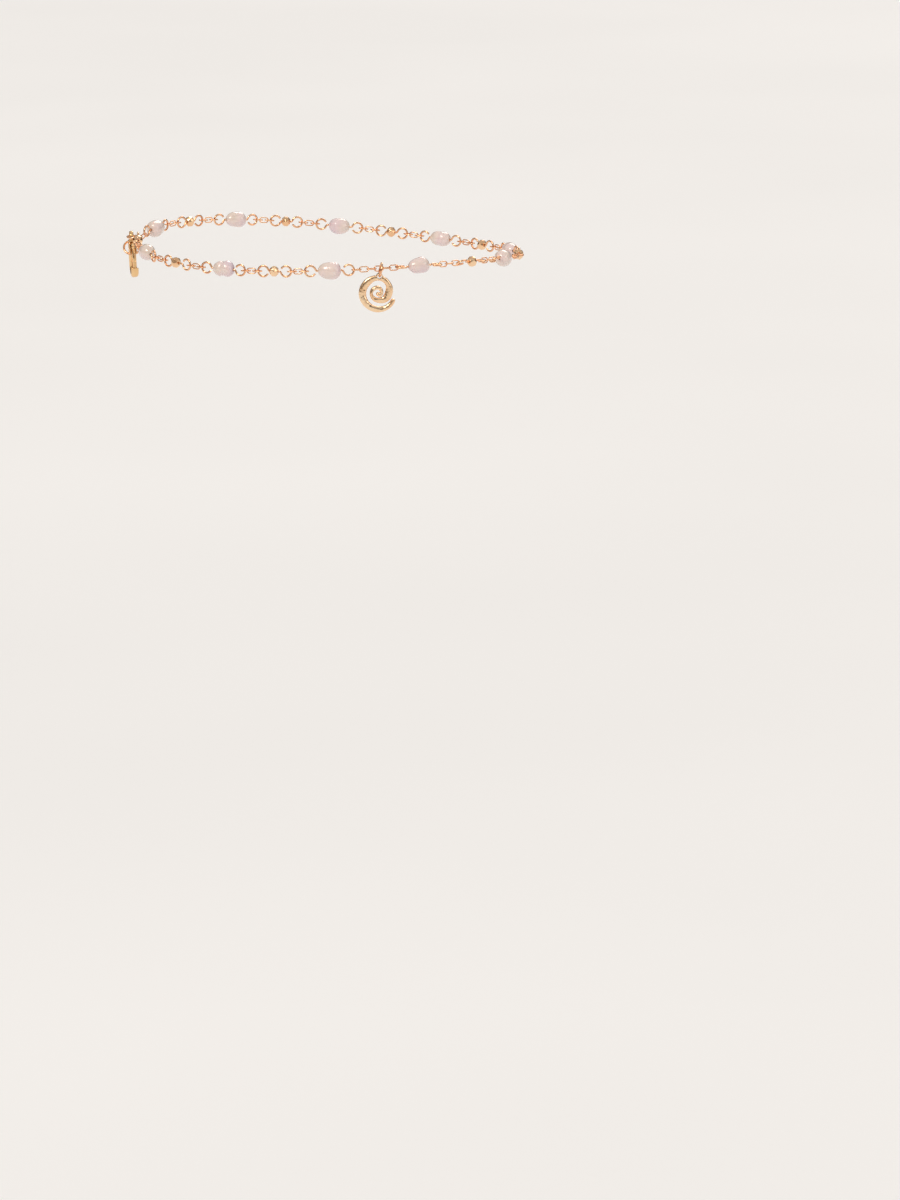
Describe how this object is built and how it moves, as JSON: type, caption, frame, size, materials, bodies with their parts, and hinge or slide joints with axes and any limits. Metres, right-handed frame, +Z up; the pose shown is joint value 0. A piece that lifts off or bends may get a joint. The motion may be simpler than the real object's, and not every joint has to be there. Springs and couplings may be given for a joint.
{
  "type": "anklet",
  "caption": "Anklet of baroque pearls and small faceted gold beads on eye pins joined by short runs of oval links, with a flat spiral drop on a jump ring and a lobster claw clasp.",
  "frame": {"origin": "middle of the loop, on the axis of the ankle that it goes round", "axes": "+Z up along the leg, -Y the side that carries the spiral drop, -X the side of the clasp"},
  "size_m": [0.0852, 0.069, 0.0129],
  "materials": {
    "pearl": "polished nacre, off-white with pink and green tints",
    "gold": "polished, warm yellow gold colour"
  },
  "bodies": {
    "chain": {"pearl_1": "pearl", "pearl_2": "pearl", "pearl_3": "pearl", "pearl_4": "pearl", "pearl_5": "pearl", "pearl_6": "pearl", "pearl_7": "pearl", "pearl_8": "pearl", "pearl_9": "pearl", "pearl_10": "pearl", "gold_bead_1": "gold", "gold_bead_2": "gold", "gold_bead_3": "gold", "gold_bead_4": "gold", "gold_bead_5": "gold", "gold_bead_6": "gold", "gold_bead_7": "gold", "gold_bead_8": "gold", "gold_bead_9": "gold", "pearl_pin_1": "gold", "pearl_pin_2": "gold", "pearl_pin_3": "gold", "pearl_pin_4": "gold", "pearl_pin_5": "gold", "pearl_pin_6": "gold", "pearl_pin_7": "gold", "pearl_pin_8": "gold", "pearl_pin_9": "gold", "pearl_pin_10": "gold", "bead_pin_1": "gold", "bead_pin_2": "gold", "bead_pin_3": "gold", "bead_pin_4": "gold", "bead_pin_5": "gold", "bead_pin_6": "gold", "bead_pin_7": "gold", "bead_pin_8": "gold", "bead_pin_9": "gold", "near_links": "gold", "far_links": "gold", "clasp_ring": "gold", "clasp_body": "gold", "end_ring": "gold"},
    "ring": {"pendant_ring": "gold"},
    "spiral": {"pendant_spiral": "gold"},
    "lever": {"clasp_lever": "gold"}
  },
  "joints": [
    {"name": "ring_swing", "type": "hinge", "parent": "chain", "child": "ring", "pos_m": [0.01074, -0.03173, 0.00026], "axis": [0.9808, 0.1951, 0], "range_deg": [-70, 70]},
    {"name": "spiral_swing", "type": "hinge", "parent": "ring", "child": "spiral", "pos_m": [0.01051, -0.03175, -0.00137], "axis": [-0.0872, 0.9962, 0], "range_deg": [-35, 28]},
    {"name": "lever_turn", "type": "hinge", "parent": "chain", "child": "lever", "pos_m": [-0.04162, 0.00468, -0.00045], "axis": [0.9879, 0.1392, 0.0691], "range_deg": [0, 24], "stiffness_Nm_per_rad": 0.004, "springref_deg": -17.19}
  ]
}
